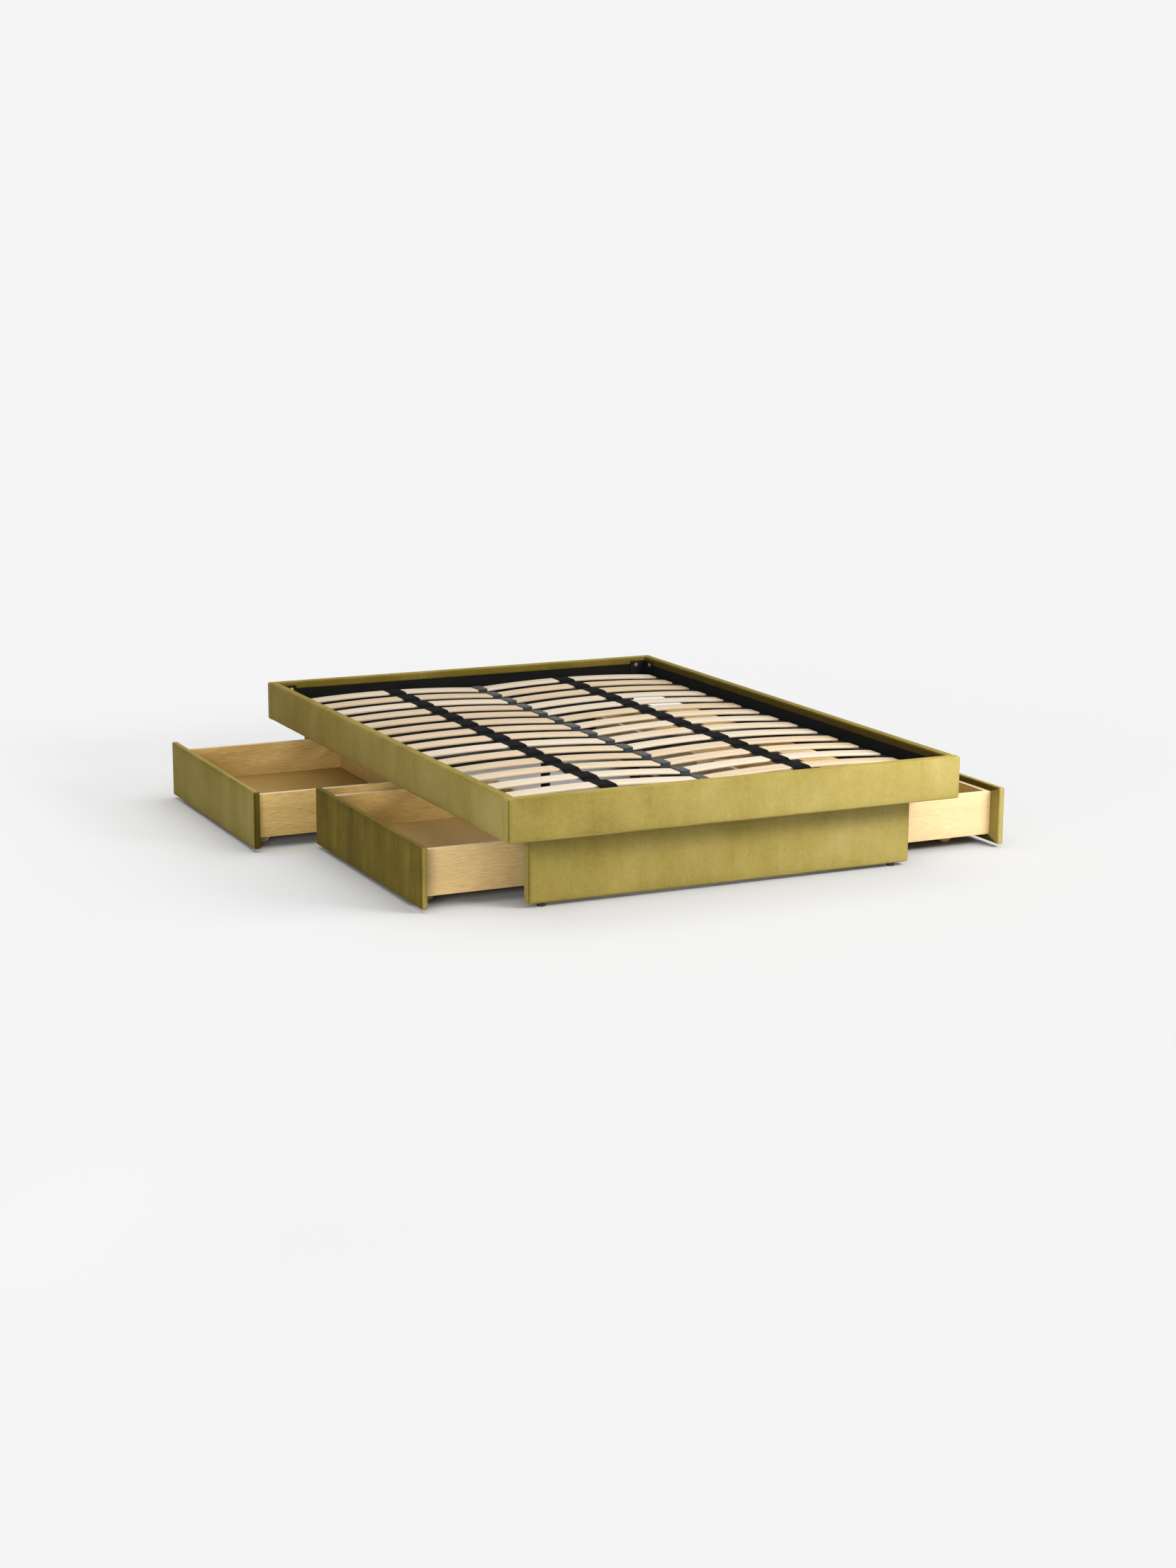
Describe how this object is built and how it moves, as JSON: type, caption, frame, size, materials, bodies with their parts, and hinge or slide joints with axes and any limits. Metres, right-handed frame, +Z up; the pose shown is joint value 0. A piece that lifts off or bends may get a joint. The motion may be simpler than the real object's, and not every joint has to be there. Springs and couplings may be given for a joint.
{
  "type": "storage platform bed",
  "caption": "Low upholstered platform bed with sprung slats on a recessed plinth and storage drawers on castors that roll out from under its sides.",
  "frame": {"origin": "middle of the bed's frame on the floor, midway between the two centre legs' feet", "axes": "+X to the right seen from the foot, +Y from foot to head, +Z up from the floor"},
  "size_m": [2.182, 2.1, 0.3525],
  "materials": {
    "velvet": "olive velvet",
    "timber": "bare timber and board",
    "black_lining": "black lining cloth",
    "black_steel": "black powder coat",
    "bolt_zinc": "yellow zinc",
    "black_wood": "black stain",
    "birch": "lacquered birch plywood",
    "grey_plastic": "dark grey moulding",
    "webbing": "black webbing",
    "black_plastic": "black moulding",
    "oak_board": "oak-effect board",
    "castor_steel": "zinc plated",
    "nylon": "natural nylon"
  },
  "bodies": {
    "bed": {"frame_bolts": "bolt_zinc", "corner_brackets": "black_steel", "foot_rail": "timber", "head_rail": "timber", "left_rail": "timber", "right_rail": "timber", "foot_rail_cover": "velvet", "head_rail_cover": "velvet", "left_rail_cover": "velvet", "right_rail_cover": "velvet", "rail_linings": "black_lining", "cross_bearers": "black_wood", "slat_ledgers": "black_wood", "centre_beam": "black_wood", "side_bearers": "black_wood", "centre_legs": "black_steel", "centre_leg_feet": "black_plastic", "slats_left": "birch", "slats_right": "birch", "slat_holders": "grey_plastic", "slat_tapes": "webbing", "foot_plinth": "black_wood", "head_plinth": "black_wood", "foot_plinth_cover": "velvet", "head_plinth_cover": "velvet", "glides": "black_plastic"},
    "drawer_left_foot": {"drawer_left_foot_front_board": "timber", "drawer_left_foot_front_cover": "velvet", "drawer_left_foot_box_sides": "oak_board", "drawer_left_foot_box_ends": "oak_board", "drawer_left_foot_bottom": "oak_board", "drawer_left_foot_castors": "castor_steel"},
    "drawer_left_foot_front_wheels": {"drawer_left_foot_front_wheels": "nylon"},
    "drawer_left_foot_rear_wheels": {"drawer_left_foot_rear_wheels": "nylon"},
    "drawer_left_head": {"drawer_left_head_front_board": "timber", "drawer_left_head_front_cover": "velvet", "drawer_left_head_box_sides": "oak_board", "drawer_left_head_box_ends": "oak_board", "drawer_left_head_bottom": "oak_board", "drawer_left_head_castors": "castor_steel"},
    "drawer_left_head_front_wheels": {"drawer_left_head_front_wheels": "nylon"},
    "drawer_left_head_rear_wheels": {"drawer_left_head_rear_wheels": "nylon"},
    "drawer_right_foot": {"drawer_right_foot_front_board": "timber", "drawer_right_foot_front_cover": "velvet", "drawer_right_foot_box_sides": "oak_board", "drawer_right_foot_box_ends": "oak_board", "drawer_right_foot_bottom": "oak_board", "drawer_right_foot_castors": "castor_steel"},
    "drawer_right_foot_front_wheels": {"drawer_right_foot_front_wheels": "nylon"},
    "drawer_right_foot_rear_wheels": {"drawer_right_foot_rear_wheels": "nylon"},
    "drawer_right_head": {"drawer_right_head_front_board": "timber", "drawer_right_head_front_cover": "velvet", "drawer_right_head_box_sides": "oak_board", "drawer_right_head_box_ends": "oak_board", "drawer_right_head_bottom": "oak_board", "drawer_right_head_castors": "castor_steel"},
    "drawer_right_head_front_wheels": {"drawer_right_head_front_wheels": "nylon"},
    "drawer_right_head_rear_wheels": {"drawer_right_head_rear_wheels": "nylon"}
  },
  "joints": [
    {"name": "left_foot_slide", "type": "slide", "parent": "bed", "child": "drawer_left_foot", "axis": [-1, 0, 0], "range_m": [-0.3, 0.3]},
    {"name": "left_foot_front_roll", "type": "hinge", "parent": "drawer_left_foot", "child": "drawer_left_foot_front_wheels", "pos_m": [-0.868, -0.4275, 0.024], "axis": [0, 1, 0], "continuous": true},
    {"name": "left_foot_rear_roll", "type": "hinge", "parent": "drawer_left_foot", "child": "drawer_left_foot_rear_wheels", "pos_m": [-0.447, -0.4275, 0.024], "axis": [0, 1, 0], "continuous": true},
    {"name": "left_head_slide", "type": "slide", "parent": "bed", "child": "drawer_left_head", "axis": [-1, 0, 0], "range_m": [-0.5, 0.1]},
    {"name": "left_head_front_roll", "type": "hinge", "parent": "drawer_left_head", "child": "drawer_left_head_front_wheels", "pos_m": [-1.068, 0.4655, 0.024], "axis": [0, 1, 0], "continuous": true},
    {"name": "left_head_rear_roll", "type": "hinge", "parent": "drawer_left_head", "child": "drawer_left_head_rear_wheels", "pos_m": [-0.647, 0.4655, 0.024], "axis": [0, 1, 0], "continuous": true},
    {"name": "right_foot_slide", "type": "slide", "parent": "bed", "child": "drawer_right_foot", "axis": [1, 0, 0], "range_m": [-0.4, 0.2]},
    {"name": "right_foot_front_roll", "type": "hinge", "parent": "drawer_right_foot", "child": "drawer_right_foot_front_wheels", "pos_m": [0.914, -0.4275, 0.024], "axis": [0, 1, 0], "continuous": true},
    {"name": "right_foot_rear_roll", "type": "hinge", "parent": "drawer_right_foot", "child": "drawer_right_foot_rear_wheels", "pos_m": [0.493, -0.4275, 0.024], "axis": [0, 1, 0], "continuous": true},
    {"name": "right_head_slide", "type": "slide", "parent": "bed", "child": "drawer_right_head", "axis": [1, 0, 0], "range_m": [-0.4, 0.2]},
    {"name": "right_head_front_roll", "type": "hinge", "parent": "drawer_right_head", "child": "drawer_right_head_front_wheels", "pos_m": [0.914, 0.4655, 0.024], "axis": [0, 1, 0], "continuous": true},
    {"name": "right_head_rear_roll", "type": "hinge", "parent": "drawer_right_head", "child": "drawer_right_head_rear_wheels", "pos_m": [0.493, 0.4655, 0.024], "axis": [0, 1, 0], "continuous": true}
  ],
  "couplings": [
    {"joint": "left_foot_front_roll", "follows": "left_foot_slide", "rad_per_m": -41.667},
    {"joint": "left_foot_rear_roll", "follows": "left_foot_slide", "rad_per_m": -41.667},
    {"joint": "left_head_front_roll", "follows": "left_head_slide", "rad_per_m": -41.667},
    {"joint": "left_head_rear_roll", "follows": "left_head_slide", "rad_per_m": -41.667},
    {"joint": "right_foot_front_roll", "follows": "right_foot_slide", "rad_per_m": 41.667},
    {"joint": "right_foot_rear_roll", "follows": "right_foot_slide", "rad_per_m": 41.667},
    {"joint": "right_head_front_roll", "follows": "right_head_slide", "rad_per_m": 41.667},
    {"joint": "right_head_rear_roll", "follows": "right_head_slide", "rad_per_m": 41.667}
  ]
}
